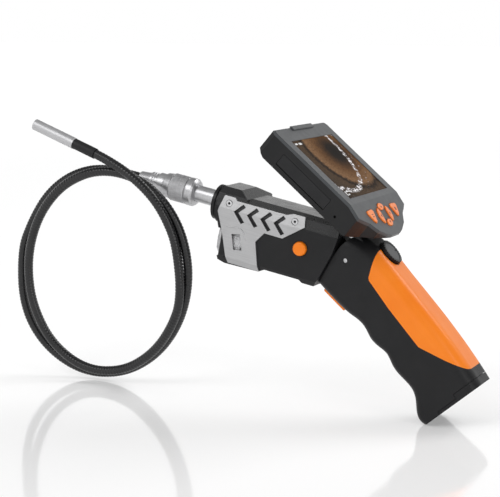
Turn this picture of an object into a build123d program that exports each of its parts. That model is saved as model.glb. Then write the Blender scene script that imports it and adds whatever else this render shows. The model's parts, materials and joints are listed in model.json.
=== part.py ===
from build123d import *
import math
import os

# A handheld inspection camera standing on the front edge of its handle's butt, nose towards -X.
# All sizes are in millimetres. Origin: on the ground, under the middle of the tool (its probe tube left out).

# Stance
BODY_PITCH = 11.5
HANDLE_LEAN = 39.7
SCREEN_TILT = 40.6
NOSE_AT = (-70.33, 0, 143.26)
BUTT_AT = (111.57, 0, 14.44)

# Body
BODY_SIDE = [
    (19.5, -37.0), (24.8, -38.6), (51.5, -37.5), (56.3, -34.6), (82.5, -34.4), (84.8, -36.3),
    (93.5, -36.3), (96.8, -29.6), (103.1, -10.3), (105.0, 0.0), (104.5, 9.5), (34.5, 9.5),
    (25.0, 13.2), (12.0, 13.2), (12.5, -2.5), (18.0, -16.0), (19.2, -34.0),
]
BODY_SECTION = [
    (18.5, -38.8), (22.4, -32.5), (22.9, 0.5), (20.5, 9.8), (12.0, 13.2), (-12.0, 13.2),
    (-20.5, 9.8), (-22.9, 0.5), (-22.4, -32.5), (-18.5, -38.8),
]
BODY_WALL = 2.0
BODY_SPLIT = 1.0
PLATE_THICK = 1.2
PLATE_OUTLINE = [
    (28.3, -37.0), (52.5, -36.9), (47.0, -16.7), (52.5, -9.1), (66.1, -9.2), (80.6, 2.3),
    (79.1, 9.0), (69.8, 8.9), (65.6, 7.2), (27.7, 7.2), (25.7, 9.0), (17.6, 9.0), (15.1, -2.5),
    (20.9, -15.9),
]
PLATE_WINDOW = [(31.7, -26.6), (38.0, -25.4), (34.8, -14.7), (28.4, -15.9)]
CHEVRON_TIP = 27.2
CHEVRON_STEP = 10.2
PLATE_SCREWS = [(22.3, 4.3), (72.6, 4.3)]
SIDE_BUTTON_AT = (79.9, -12.8)
SIDE_BUTTON_R = 4.9
NECK = ((92, 108), (-10, 10), (-24, -10))

# Turning head: spindle along the body's X, thumbwheel along the body's Z
SPINDLE_R = 6.0
SPINDLE_BORE = 3.0
SHANK_R = 4.5
RUNNING = 0.05
WHEEL_X = 32.0
WHEEL_R = 22.0
WHEEL_LOW = -33.5
WHEEL_HIGH = -14.8
AXLE_R = 4.0
MESH_R = 11.25
PINION_TEETH = 10
CROWN_TEETH = 18
PINION_PITCH_R = 6.25
TOOTH_REACH = 0.7

# Handle, in its own frame: x towards its back, z up its length from the butt
HANDLE_FRONT = [
    (-22.6, 0.0), (-24.2, 5.3), (-22.9, 10.0), (-18.4, 16.9), (-15.6, 24.0), (-15.9, 31.5),
    (-17.0, 39.5), (-16.6, 46.0), (-15.2, 53.5), (-17.0, 61.0), (-18.0, 68.5), (-16.8, 76.0),
    (-17.2, 82.5), (-19.5, 89.5), (-20.9, 94.8), (-24.0, 115.1), (-24.6, 120.0),
]
HANDLE_TOP = [(-20.6, 121.6), (-6.3, 126.3), (-1.0, 127.9), (6.0, 129.6), (16.0, 129.8)]
HANDLE_BACK = [
    (20.6, 124.0), (23.6, 113.0), (24.3, 98.0), (25.3, 72.0), (26.1, 48.5), (26.0, 28.0), (24.4, 0.0),
]
HANDLE_HALF = 19.0
HANDLE_FRONT_ROUND = 6.0
HANDLE_BACK_ROUND = 11.0
HANDLE_WALL = 3.4
GRIP_THICK = 1.6
GRIP_OUTLINE = [
    (40.0, 10.0), (26.0, 11.5), (24.1, 14.1), (7.9, 44.3), (7.0, 76.4), (7.6, 99.2), (8.5, 101.0),
    (23.2, 111.7), (40.0, 112.5),
]
CELL_R = 7.1
CELL_LONG = 48.0
CELL_X = [-0.6, 13.9]
CELL_Y = [-7.3, 7.3]
CELL_LOW = 5.0
HANDLE_SCREWS = [(2.1, 119.9, 16.9), (11.0, 68.0, 15.6)]
KNOB_Z = 106.9
KNOB_SEAT = 21.8
KNOB_R = 9.0
KNOB_HIGH = 4.6
TRIGGER_AT = (-22.5, 105.0)
TRIGGER_TURN = -98.7
TRIGGER_STROKE = 2.0
DOOR_FRONT = -8.0
DOOR_THICK = 2.2
SKIRT_FRONT = 8.0
SKIRT_HIGH = 5.5
FIT_GAP = 0.25

# Screen unit, in its own frame: origin on its hinge, x towards its key end, z out of its face
HINGE_AT = (111.1, 4.0)
SCREEN_SIDE = [
    (-74.0, 6.0), (0.5, 6.0), (5.5, 7.7), (14.5, 12.8), (20.0, 15.8), (20.0, 18.1), (-7.5, 25.3),
    (-79.3, 25.3), (-80.5, 24.1), (-80.5, 8.9),
]
SCREEN_HALF_OUTLINE = [(-80.5, 41.5), (-77.0, 44.0), (2.5, 44.0), (5.5, 38.0), (8.0, 32.0), (14.5, 24.0),
                       (18.5, 14.0), (20.0, 8.0)]
SCREEN_HOLLOW = [
    (-73.0, 8.0), (0.2, 8.0), (4.8, 9.6), (13.5, 14.5), (17.8, 16.8), (-7.8, 23.3), (-78.5, 23.3), (-78.5, 10.2),
]
SCREEN_WALL = 2.0
BEZEL_THICK = 2.2
BEND_X = -7.5
FACE_Z = 25.3
KEY_SLOPE = 14.67
VIEW_CENTRE = -40.2
VIEW_ALONG = 55.6
VIEW_ACROSS = 71.0
KEY_TRAVEL = 0.5
EAR_R = 5.5
PIN_R = 2.0
FLAP_X = (-64.0, -19.7)
FLAP_Z = (9.45, 18.1)

# Probe: a flexible tube in two leaning turns; each turn is its long and short half, its lean, and its shift in X and Z
TUBE_R = 3.35
FERRULE_TIP = -60.3
COIL_AT = (-160.9, -3.5, 83.7)
COIL_TILT = 9.4
OUTER_TURN = (84.0, 69.0, 61.0, -0.8, 0.4)
INNER_TURN = (79.0, 61.0, 65.1, 6.6, 0.6)
LEAD_ROUTE = [
    (-129.41, 0.0, 155.28), (-144.5, 0.0, 158.35), (-160.5, -0.3, 160.4), (-177.0, -0.5, 158.2),
    (-193.8, -0.8, 151.0), (-209.8, -1.4, 137.6), (-222.8, -2.3, 116.5), (-231.0, -3.3, 96.0),
]
TAIL_ROUTE = [
    (-92.5, -10.3, 91.5), (-93.4, -14.0, 108.5), (-98.0, -18.5, 126.5), (-106.6, -21.5, 142.5),
    (-121.5, -22.7, 156.6), (-142.6, -23.0, 168.97), (-156.58, -23.0, 174.44),
]
HEAD_FRONT = (-203.78, -23.0, 192.84)
SLEEVE_LONG = 15.5
SLEEVE_R = 3.8
HEAD_R = 4.1

body_frame = Location(NOSE_AT, (0, BODY_PITCH, 0))
handle_frame = Location(BUTT_AT, (0, -HANDLE_LEAN, 0))
hinge_point = (body_frame * Pos(HINGE_AT[0], 0, HINGE_AT[1])).position
screen_frame = Location(hinge_point, (0, SCREEN_TILT, 0))
key_frame = screen_frame * Location((BEND_X, 0, FACE_Z), (0, KEY_SLOPE, 0))
trigger_frame = handle_frame * Location((TRIGGER_AT[0], 0, TRIGGER_AT[1]), (0, TRIGGER_TURN, 0))
coil_frame = Location(COIL_AT, (COIL_TILT, 0, 0))


def inset(points, depth):
    """Corners of the polygon whose sides lie `depth` inside those of an anticlockwise one."""
    moved = []
    for i, (bx, bz) in enumerate(points):
        before = Vector(bx - points[i - 1][0], bz - points[i - 1][1]).normalized()
        after_x, after_z = points[(i + 1) % len(points)]
        after = Vector(after_x - bx, after_z - bz).normalized()
        inward = Vector(-before.Y - after.Y, before.X + after.X)
        reach = 2 * depth / inward.length**2
        moved.append((bx + inward.X * reach, bz + inward.Y * reach))
    return moved


def prism(points, y0, y1):
    """Side outline in X and Z, carried across from y0 to y1."""
    face = Face(Wire.make_polygon([(x, y0, z) for x, z in points]))
    return Solid.extrude(face, Vector(0, y1 - y0, 0))


def cross_prism(points, x0, x1):
    """Cross-section in Y and Z, carried along X."""
    face = Face(Wire.make_polygon([(x0, y, z) for y, z in points]))
    return Solid.extrude(face, Vector(x1 - x0, 0, 0))


def plan_prism(points, z0, z1):
    """Plan outline in X and Y, carried up Z."""
    face = Face(Wire.make_polygon([(x, y, z0) for x, y in points]))
    return Solid.extrude(face, Vector(0, 0, z1 - z0))


def block(x, y, z):
    """Box between the limits (low, high) given for each axis."""
    size = [high - low for low, high in (x, y, z)]
    return Pos((x[0] + x[1]) / 2, (y[0] + y[1]) / 2, (z[0] + z[1]) / 2) * Box(*size)


def rod_x(radius, x0, x1, y=0, z=0):
    return Pos((x0 + x1) / 2, y, z) * Rot(0, 90, 0) * Cylinder(radius, x1 - x0)


def rod_y(radius, y0, y1, x=0, z=0):
    return Pos(x, (y0 + y1) / 2, z) * Rot(90, 0, 0) * Cylinder(radius, y1 - y0)


def rod_z(radius, z0, z1, x=0, y=0):
    return Pos(x, y, (z0 + z1) / 2) * Cylinder(radius, z1 - z0)


def turned_x(profile):
    """Solid of revolution about X from corners (x, radius)."""
    face = Face(Wire.make_polygon([(x, 0, r) for x, r in profile]))
    return Solid.revolve(face, 360, Axis.X)


def turned_z(profile):
    """Solid of revolution about Z from corners (radius, z)."""
    face = Face(Wire.make_polygon([(r, 0, z) for r, z in profile]))
    return Solid.revolve(face, 360, Axis.Z)


def ribbed_circle(radius, depth, count):
    """Corners of a circle with `count` shallow ribs round it."""
    corners = []
    for i in range(count):
        for step, r in ((0.0, radius), (0.45, radius), (0.55, radius - depth), (0.9, radius - depth)):
            angle = 2 * math.pi * (i + step) / count
            corners.append((r * math.cos(angle), r * math.sin(angle)))
    return corners


# ---------------------------------------------------------------- body

def body_solid(depth):
    return prism(inset(BODY_SIDE, depth), -30, 30) & cross_prism(inset(BODY_SECTION, depth), 0, 120)


def body_casing():
    """Hollow body with every opening that goes through its wall."""
    wheel_slot = rod_z(WHEEL_R + 1.0, WHEEL_LOW - 0.5, WHEEL_HIGH + 0.5, WHEEL_X)
    casing = body_solid(0) - body_solid(BODY_WALL) - wheel_slot
    casing -= rod_z(13.2, WHEEL_HIGH, -5.0, WHEEL_X)
    for side in (-1, 1):
        corner = [(10, side * 17), (17.8, side * 17), (21, side * 23), (21, side * 30), (10, side * 30)]
        casing -= plan_prism(corner, WHEEL_LOW - 0.5, WHEEL_HIGH + 0.5)
    casing -= rod_x(9.0, 10, 18)
    casing -= rod_z(AXLE_R, -40, -34, WHEEL_X)
    casing -= block(*NECK)
    casing -= rod_y(SIDE_BUTTON_R + 0.25, -26, -18, *SIDE_BUTTON_AT)
    for x, z in PLATE_SCREWS:
        casing -= rod_y(1.2, -26, 26, x, z)
        casing -= rod_y(2.3, -26, -21.2, x, z) + rod_y(2.3, 21.2, 26, x, z)
    return casing


def top_cover(casing):
    cover = casing & block((0, 120), (-30, 30), (BODY_SPLIT, 20))
    for side in (-1, 1):
        bevel = [(side * 11.5, 9.6), (side * 24, 7.2), (side * 24, 12)]
        cover -= cross_prism(bevel, 34.5, 110)
    return cover


def body_shell(casing, side):
    low, high = sorted((0, side * 30))
    return casing & block((0, 120), (low, high), (-40, BODY_SPLIT))


def nose_collar():
    """Two ribbed rings round the spindle, with a spigot into the body's front wall."""
    collar = rod_x(12.6, 3.8, 6.2, 0, -1.6) + rod_x(11.8, 6.2, 7.4, 0, -1.8) + rod_x(13.5, 7.4, 20, 0, -2.2)
    collar -= body_solid(0)
    collar -= block((0, 30), (-20, 20), (-30, WHEEL_HIGH + 0.6))
    collar += rod_x(9.0, 11, 16)
    return collar - rod_x(8.0, 5.2, 17) - rod_x(SPINDLE_R + 0.3, 0, 6)


def spindle_bushes():
    front = rod_x(8.0, 5.2, 16) - rod_x(SPINDLE_R + RUNNING, 3, 17)
    rear = rod_x(6.5, 55, 59) - rod_x(SHANK_R + RUNNING, 54, 60)
    return Compound(children=[front, rear])


def spindle_bulkhead():
    plate = cross_prism([(18, -14), (20.9, 0), (18.2, 7.4), (-18.2, 7.4), (-20.9, 0), (-18, -14)], 55, 59)
    plate &= body_solid(BODY_WALL + 0.02)
    return plate - rod_x(6.5, 54, 60)


def side_plate(side):
    """Pressed metal plate lying on the body's flank, with four chevron slots and a wheel window."""
    skin = cross_prism(inset(BODY_SECTION, -PLATE_THICK), 0, 120) - cross_prism(BODY_SECTION, -1, 121)
    low, high = sorted((side * 14, side * 30))
    plate = skin & prism(PLATE_OUTLINE, low, high)
    plate -= prism(PLATE_WINDOW, low, high)
    for i in range(4):
        tip = CHEVRON_TIP + i * CHEVRON_STEP
        slot = [(tip, -0.2), (tip + 6.7, -7.3), (tip + 9.1, -5.7), (tip + 3.6, -0.1), (tip + 8.0, 4.5), (tip + 5.7, 6.1)]
        plate -= prism(slot, low, high)
    for x, z in PLATE_SCREWS:
        plate -= rod_y(2.4, low, high, x, z)
    return plate


def plate_screws():
    screws = []
    for x, z in PLATE_SCREWS:
        for side in (-1, 1):
            head = rod_y(2.2, *sorted((side * 21.3, side * 23.2)), x, z)
            shank = rod_y(1.15, *sorted((side * 16.0, side * 21.3)), x, z)
            socket = rod_y(0.9, *sorted((side * 22.3, side * 24.0)), x, z)
            screws.append(head + shank - socket)
    return Compound(children=screws)


def side_button():
    cap = rod_y(SIDE_BUTTON_R, -25.2, -20.3, *SIDE_BUTTON_AT)
    cap = fillet(cap.edges().sort_by(Axis.Y)[0], 1.5)
    return cap + rod_y(SIDE_BUTTON_R + 1.0, -20.3, -19.3, *SIDE_BUTTON_AT)


def button_board():
    x, z = SIDE_BUTTON_AT
    board = block((x - 8, x + 8), (-14.8, -13.2), (z - 8, z + 8))
    return board + rod_y(3.0, -18.0, -14.8, x, z)


def main_board():
    board = block((61, 90), (-15, 15), (-30.0, -28.4))
    chips = block((65, 75), (-6, 4), (-28.4, -26.8)) + block((78, 85), (-10, -3), (-28.4, -27.0))
    return board + chips + block((64, 72), (7, 14), (-28.4, -23.5))


def neck_frame():
    return block(*NECK) - block((90, 110), (-8.4, 8.4), (NECK[2][0] + 1.6, NECK[2][1] - 1.6))


# ---------------------------------------------------------------- turning head

def pinion_outline():
    """Spur teeth round the spindle, in Y and Z, with a gap facing straight down at rest."""
    corners = []
    for i in range(PINION_TEETH):
        middle = 360 * (i + 0.5) / PINION_TEETH - 90
        for turn, r in ((-8.5, -1), (-4.0, 1), (4.0, 1), (8.5, -1)):
            radius = PINION_PITCH_R + r * TOOTH_REACH
            angle = math.radians(middle + turn)
            corners.append((radius * math.cos(angle), radius * math.sin(angle)))
    return corners


def spindle_gear():
    mesh = WHEEL_X + MESH_R
    gear = cross_prism(pinion_outline(), mesh - 1.5, mesh + 1.5) + rod_x(6.2, mesh + 1.5, mesh + 5.0)
    return gear - rod_x(SHANK_R, mesh - 3, mesh + 6)


def spindle():
    shaft = rod_x(SPINDLE_R, -24.0, 16.0) + rod_x(SHANK_R, 16.0, 61.5) + rod_x(7.2, -24.0, -22.3)
    return shaft - rod_x(SPINDLE_BORE, -25, 62)


def spindle_clip():
    ring = rod_x(6.1, 59.2, 60.2) - rod_x(SHANK_R, 59, 61)
    return ring - block((59, 61), (-2, 2), (3, 9))


def drive_wheel():
    """Barrel-shaped ribbed rim on a web and hub, open above for the crown gear."""
    middle = (WHEEL_LOW + WHEEL_HIGH) / 2
    rim = turned_z([(18.6, WHEEL_LOW), (20.4, WHEEL_LOW), (21.4, WHEEL_LOW + 3), (WHEEL_R, middle),
                    (21.4, WHEEL_HIGH - 3), (20.4, WHEEL_HIGH), (18.6, WHEEL_HIGH)])
    rim &= plan_prism(ribbed_circle(WHEEL_R, 0.45, 56), WHEEL_LOW, WHEEL_HIGH)
    web = rod_z(18.8, -27.0, -23.0) + rod_z(7.5, WHEEL_LOW + 0.4, -14.2)
    return Pos(WHEEL_X, 0, 0) * (rim + web - rod_z(AXLE_R + RUNNING, -40, -10))


def crown_gear():
    low = -PINION_PITCH_R - TOOTH_REACH - 0.5
    high = -PINION_PITCH_R + TOOTH_REACH - 0.1
    ring = rod_z(12.6, -23.0, low) - rod_z(9.9, -24, low + 1)
    for i in range(CROWN_TEETH):
        tooth = block((MESH_R - 1.3, MESH_R + 1.3), (-0.5, 0.5), (low, high))
        ring += Rot(0, 0, 360 * i / CROWN_TEETH) * tooth
    return Pos(WHEEL_X, 0, 0) * ring


def wheel_axle():
    pin = rod_z(AXLE_R, -38.4, -12.6, WHEEL_X)
    flange = rod_z(6.5, -36.4, -33.4, WHEEL_X) & body_solid(BODY_WALL)
    cap = rod_z(5.6, -13.9, -12.6, WHEEL_X)
    return pin + flange + cap


def coupling_nut():
    """Knurled union nut that runs on the spindle and closes over the ferrule's plug."""
    barrel = turned_x([(-38.5, 7.4), (-38.5, 8.6), (-33.2, 9.3), (-33.0, 9.65), (-20.4, 9.65), (-20.2, 10.0),
                       (-15.4, 10.0), (-14.2, 9.0), (-13.6, 8.2), (-13.6, 6.8), (-21.9, 6.8)])
    grip = cross_prism(ribbed_circle(9.9, 0.3, 48), -33.0, -20.4)
    barrel = barrel + grip
    return barrel - rod_x(7.35, -40, -21.9) - rod_x(SPINDLE_R + RUNNING, -23, -12)


def ferrule():
    cone = turned_x([(FERRULE_TIP, 3.4), (FERRULE_TIP, 4.6), (-51.0, 5.6), (-51.0, 6.5), (-47.2, 6.5),
                     (-46.8, 6.1), (-44.6, 6.1), (-44.2, 7.5), (-39.0, 7.5), (-39.0, 3.4)])
    plug = rod_x(6.0, -39.0, -24.1) - rod_x(SPINDLE_BORE, -40, -24)
    groove = rod_x(7.0, -31.0, -29.0) - rod_x(5.8, -32, -28)
    return cone + plug - groove - rod_x(3.4, FERRULE_TIP - 1, -45)


def seal_ring():
    return Pos(-30.0, 0, 0) * Rot(0, 90, 0) * Torus(6.56, 0.7)


# ---------------------------------------------------------------- probe tube and camera head

def smooth_tube(route, radius):
    """Round tube whose path is straight runs joined by arcs as large as the runs allow."""
    points = [Vector(*p) for p in route]
    radii = []
    for before, corner, after in zip(points, points[1:], points[2:]):
        first = corner - before
        second = after - corner
        half_turn = math.radians(first.get_angle(second) / 2)
        radii.append(0.45 * min(first.length, second.length) / math.tan(half_turn))
    print("tube radii", [round(r, 1) for r in radii])
    path = FilletPolyline(*points, radius=radii)
    start = Plane(origin=path @ 0, z_dir=path % 0)
    tube = sweep(start * Circle(radius), path=path)
    print("tube volume / section x length", round(tube.volume / (math.pi * radius**2 * path.length), 3))
    return tube


def probe_coil():
    """Plain ring with the outline of both turns."""
    def oval(turn, grow):
        long_half, short_half, lean, x, z = turn
        shape = Plane.XZ * (Pos(x, z) * (Rot(0, 0, lean) * Ellipse(long_half + grow, short_half + grow)))
        return extrude(shape, amount=-2.9) + extrude(shape, amount=8.8)
    return oval(OUTER_TURN, 2.6) - oval(INNER_TURN, -2.6)


def head_axis(distance, start=TAIL_ROUTE[-1]):
    """Location on the camera head's axis, `distance` from where the tube ends."""
    way = (Vector(*HEAD_FRONT) - Vector(*start)).normalized()
    return Plane(origin=Vector(*start) + way * distance, z_dir=way)


def head_cylinder(radius, near, far):
    return Solid.make_cylinder(radius, far - near, head_axis(near))


def head_length():
    return (Vector(*HEAD_FRONT) - Vector(*TAIL_ROUTE[-1])).length


def head_sleeve():
    sleeve = head_cylinder(SLEEVE_R, -3.0, SLEEVE_LONG)
    return sleeve - head_cylinder(TUBE_R, -4.0, 0.0) - head_cylinder(2.9, -0.1, SLEEVE_LONG + 1)


def head_barrel():
    end = head_length()
    barrel = head_cylinder(HEAD_R, SLEEVE_LONG, end) + head_cylinder(2.9, SLEEVE_LONG - 6.0, SLEEVE_LONG)
    barrel = barrel - head_cylinder(3.3, SLEEVE_LONG + 3.0, end + 1)
    return barrel - head_cylinder(3.7, end - 1.2, end + 1) - head_cylinder(1.8, 0, SLEEVE_LONG + 4)


def head_window():
    end = head_length()
    return head_cylinder(3.7, end - 1.2, end - 0.4)


def led_ring():
    end = head_length()
    ring = head_cylinder(3.2, end - 2.4, end - 1.4) - head_cylinder(1.5, end - 3, end)
    for i in range(6):
        spot = head_axis(end - 1.4) * Rot(0, 0, 60 * i) * Pos(2.4, 0, 0)
        ring += spot * Cylinder(0.45, 0.3)
    return ring


# ---------------------------------------------------------------- handle

def handle_solid(depth):
    """Handle's outer shape, moved inwards by `depth` on every side but the butt."""
    half = HANDLE_HALF - depth
    front = [Vector(x + depth, -half, z) for x, z in HANDLE_FRONT]
    back = [Vector(x - depth, -half, z) for x, z in HANDLE_BACK]
    top = [front[-1], *[Vector(x, -half, z - depth) for x, z in HANDLE_TOP], back[0]]
    top_lines = [Edge.make_line(a, b) for a, b in zip(top, top[1:])]
    butt_line = Edge.make_line(back[-1], front[0])
    outline = Wire([Edge.make_spline(front), *top_lines, Edge.make_spline(back), butt_line])
    solid = Solid.extrude(Face(outline), Vector(0, 2 * half, 0))
    solid = fillet(long_edges(solid, half, -40, 0), HANDLE_FRONT_ROUND - depth)
    return fillet(long_edges(solid, half, 15, 40), HANDLE_BACK_ROUND - depth)


def long_edges(solid, half, low, high):
    """The long side edges whose middle lies between x = low and x = high."""
    edges = [e for e in solid.edges() if e.length > 60 and abs(abs(e.center().Y) - half) < 0.1]
    return [e for e in edges if low < e.center().X < high]


def hinge_in_handle():
    """The screen hinge's place in the handle's own frame."""
    place = (handle_frame.inverse() * screen_frame).position
    return place.X, place.Z


def door_space(gap):
    """Room the battery door takes at the butt: a plate, and a skirt round the back."""
    plate = block((DOOR_FRONT - gap, 40), (-30, 30), (-1, DOOR_THICK + gap))
    skirt = block((SKIRT_FRONT - gap, 40), (-30, 30), (-1, SKIRT_HIGH + gap)) - handle_solid(1.8 + gap)
    return plate + skirt


def neck_space():
    return handle_frame.inverse() * body_frame * block(*NECK)


def handle_casing(outer, grip):
    """Hollow handle with its hinge ears and every opening."""
    x, z = hinge_in_handle()
    ears = rod_y(EAR_R, -14.5, 14.5, x, z) + block((x - 5.5, x + 4.0), (-14.5, 14.5), (z - 9, z))
    casing = outer + ears - grip
    casing -= block((-50, 50), (-8.65, 8.65), (z - 1.0, z + 20)) + rod_y(7.0, -8.65, 8.65, x, z)
    casing -= rod_y(PIN_R, -20, 20, x, z)
    hollow = handle_solid(HANDLE_WALL) & block((-40, 40), (-15.6, 15.6), (-5, 117))
    casing -= hollow
    casing -= block((DOOR_FRONT, 21.0), (-15.6, 15.6), (-1, 6))
    casing -= door_space(FIT_GAP)
    for side in (-1, 1):
        casing -= block((DOOR_FRONT + 0.7, 40), sorted((side * 15.0, side * 17.5)), (3.15, 4.85))
    casing -= rod_x(3.3, 10, 40, 0, KNOB_Z) + rod_x(9.6, KNOB_SEAT, 40, 0, KNOB_Z)
    casing -= neck_space()
    casing -= handle_frame.inverse() * body_frame * body_solid(-0.4)
    casing -= trigger_space()
    for sx, sz, seat in HANDLE_SCREWS:
        casing += rod_y(3.2, -seat, seat, sx, sz) & handle_solid(GRIP_THICK)
        casing -= rod_y(1.6, -20, -seat, sx, sz) + rod_y(1.15, -seat - 1, 13, sx, sz)
    return casing


def handle_shell(casing, side):
    low, high = sorted((0, side * 30))
    half = casing & block((-60, 60), (low, high), (-5, 150))
    return half


def handle_screws():
    screws = []
    for x, z, seat in HANDLE_SCREWS:
        screw = rod_y(1.5, -seat - 1.2, -seat, x, z) + rod_y(1.15, -seat, 12, x, z)
        screws.append(screw - rod_y(0.7, -seat - 2, -seat - 0.6, x, z))
    return Compound(children=screws)


def grip_insert(outer):
    """Bright saddle moulding over the handle's back."""
    skin = outer - handle_solid(GRIP_THICK)
    grip = skin & prism(GRIP_OUTLINE, -30, 30)
    grip -= rod_x(9.6, KNOB_SEAT, 40, 0, KNOB_Z)
    return grip - rod_x(3.3, 10, 40, 0, KNOB_Z)


def trigger_space():
    hole = block((-10.3, 10.3), (-10.3, 10.3), (-8, 6)) + block((-12.2, 12.2), (-11.4, 11.4), (-13.5, -3.7))
    return handle_frame.inverse() * trigger_frame * hole


def trigger():
    cap = block((-10, 10), (-10, 10), (-3.9, 3.6))
    cap = fillet(cap.edges().group_by(Axis.Z)[-1], 1.4)
    return cap + block((-11.5, 11.5), (-11.2, 11.2), (-5.4, -3.9))


def trigger_switch():
    return block((-5, 5), (-4, 4), (-11.5, -7.8)) + block((-10, 6.5), (-11, 11), (-13.1, -11.5))


def battery_door(outer):
    door = (outer & block((DOOR_FRONT, 40), (-30, 30), (-1, DOOR_THICK)))
    skirt = (outer - handle_solid(1.8)) & block((SKIRT_FRONT, 40), (-30, 30), (0, SKIRT_HIGH))
    rib = block((DOOR_FRONT + 1, 20), (13.6, 15.3), (DOOR_THICK, 4.6))
    tongue = block((DOOR_FRONT + 1, 20), (15.0, 17.2), (3.4, 4.6))
    return door + skirt + rib + tongue + mirror(rib + tongue, Plane.XZ)


def aa_cells():
    cells = []
    for x in CELL_X:
        for y in CELL_Y:
            can = rod_z(CELL_R, CELL_LOW, CELL_LOW + CELL_LONG, x, y)
            cells.append(can + rod_z(2.6, CELL_LOW + CELL_LONG, CELL_LOW + CELL_LONG + 1.4, x, y))
    return Compound(children=cells)


def cell_contacts():
    """Four conical springs' outer shapes under a carrier plate at the cells' upper ends."""
    top = CELL_LOW + CELL_LONG
    carrier = block((-11.5, 20), (-15.2, 15.2), (top + 4.0, top + 6.0)) & handle_solid(HANDLE_WALL)
    for x in CELL_X:
        for y in CELL_Y:
            carrier += Pos(x, y, top + 2.7) * Cone(2.2, 4.2, 2.6)
    return carrier


def dimmer():
    return rod_x(7.0, 7.5, 14.5, 0, KNOB_Z) + block((5.5, 7.5), (-10, 10), (KNOB_Z - 9, KNOB_Z + 9))


def knob():
    rim = Pos(KNOB_SEAT + 0.3, 0, KNOB_Z) * Rot(0, 90, 0)
    grip = plan_prism(ribbed_circle(KNOB_R, 0.6, 28), 0, KNOB_HIGH) - rod_z(6.9, KNOB_HIGH - 1.0, KNOB_HIGH + 1)
    return rim * (grip + rod_z(3.0, -7.0, 0.5))


def knob_disc():
    place = Pos(KNOB_SEAT + 0.3, 0, KNOB_Z) * Rot(0, 90, 0)
    disc = rod_z(6.8, KNOB_HIGH - 1.0, KNOB_HIGH - 0.2)
    pointer = block((-0.5, 0.5), (3.0, 6.0), (KNOB_HIGH - 0.5, KNOB_HIGH))
    return place * (disc - pointer)


# ---------------------------------------------------------------- screen unit

def screen_outline(depth):
    half = SCREEN_HALF_OUTLINE
    far = [(x, y) for x, y in reversed(half)]
    near = [(x, -y) for x, y in half]
    return inset([*near, *far], depth)


def screen_solid():
    return prism(SCREEN_SIDE, -44, 44) & plan_prism(screen_outline(0), 0, 30)


def screen_hollow(depth):
    """Room inside the screen unit, moved in by `depth` from its side walls."""
    return prism(SCREEN_HOLLOW, -44, 44) & plan_prism(screen_outline(SCREEN_WALL + depth), 0, 30)


def above_split():
    drop = BEZEL_THICK
    slope = math.tan(math.radians(KEY_SLOPE))
    end = FACE_Z - drop - (40 - BEND_X) * slope
    return prism([(-90, 40), (-90, FACE_Z - drop), (BEND_X, FACE_Z - drop), (40, end), (40, 40)], -50, 50)


def key_outlines():
    """Plan outlines of the six keys on the sloping key surface: x down the slope, y across."""
    angles = [math.radians(24 * i) for i in range(15)]
    small = [(2.7 * math.cos(a), 4.2 * math.sin(a)) for a in angles]
    leaf = [(7.4, 7.6), (8.0, 6.5), (11.4, 5.7), (15.6, 5.9), (18.8, 6.9), (19.2, 8.0), (16.2, 10.6), (12.6, 11.2),
            (9.2, 9.8)]
    wedge = [(6.9, 18.4), (8.6, 16.4), (16.2, 19.6), (17.2, 21.4), (15.4, 23.6), (9.6, 27.0), (7.4, 26.2)]
    return {
        "key_up": [(x + 7.0, y) for x, y in small],
        "key_down": [(x + 19.4, y) for x, y in small],
        "key_left": [(x, -y) for x, y in reversed(leaf)],
        "key_right": leaf,
        "key_menu": [(x, -y) for x, y in reversed(wedge)],
        "key_enter": wedge,
    }


def key(points):
    cap = plan_prism(points, -2.6, 0.9)
    cap = chamfer(cap.edges().group_by(Axis.Z)[-1], 0.35)
    return cap + plan_prism(inset(points, -0.7), -3.2, -2.5)


def bezel():
    plate = screen_solid() & above_split()
    plate -= block((VIEW_CENTRE - VIEW_ALONG / 2, VIEW_CENTRE + VIEW_ALONG / 2),
                   (-VIEW_ACROSS / 2, VIEW_ACROSS / 2), (20, 30))
    to_keys = screen_frame.inverse() * key_frame
    for points in key_outlines().values():
        plate -= to_keys * plan_prism(inset(points, -0.25), -6, 3)
    return plate


def screen_window():
    return block((VIEW_CENTRE - VIEW_ALONG / 2, VIEW_CENTRE + VIEW_ALONG / 2),
                 (-VIEW_ACROSS / 2, VIEW_ACROSS / 2), (FACE_Z - BEZEL_THICK, FACE_Z - 0.5))


def display_panel():
    top = FACE_Z - BEZEL_THICK
    return block((VIEW_CENTRE - 29.5, VIEW_CENTRE + 29.5), (-37, 37), (top - 2.6, top))


HOUSING_SCREWS = [(-73.5, 39.5), (-73.5, -39.5), (-3.0, 39.0), (-3.0, -39.0)]


def rear_housing():
    tub = screen_solid() - screen_hollow(0) - above_split()
    tub -= block((FLAP_X[0] - 0.2, FLAP_X[1] + 0.2), (-46, -41), (FLAP_Z[0] - 0.15, FLAP_Z[1] + 0.2))
    for x, y in HOUSING_SCREWS:
        tub += rod_z(3.0, 6.5, 21.0, x, y) & screen_solid()
        tub -= rod_z(1.2, 5, 23, x, y) + rod_z(2.3, 5, 7.2, x, y)
    for x in (-3.6, 3.6):
        tub -= rod_z(1.2, 5, 12, -2.6, x)
    return tub


def housing_screws():
    screws = []
    for x, y in HOUSING_SCREWS:
        screw = rod_z(2.2, 6.1, 7.2, x, y) + rod_z(1.15, 7.2, 20, x, y)
        screws.append(screw - rod_z(0.9, 6, 6.8, x, y))
    return Compound(children=screws)


def hinge_arm():
    arm = rod_y(5.2, -8.05, 8.05) + block((-4.8, 0.4), (-8.05, 8.05), (0, 6.0))
    for y in (-3.6, 3.6):
        arm -= rod_z(1.2, 3, 7, -2.6, y)
    return arm - rod_y(PIN_R + RUNNING, -10, 10)


def hinge_pin():
    return rod_y(PIN_R, -14.4, 14.4)


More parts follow.
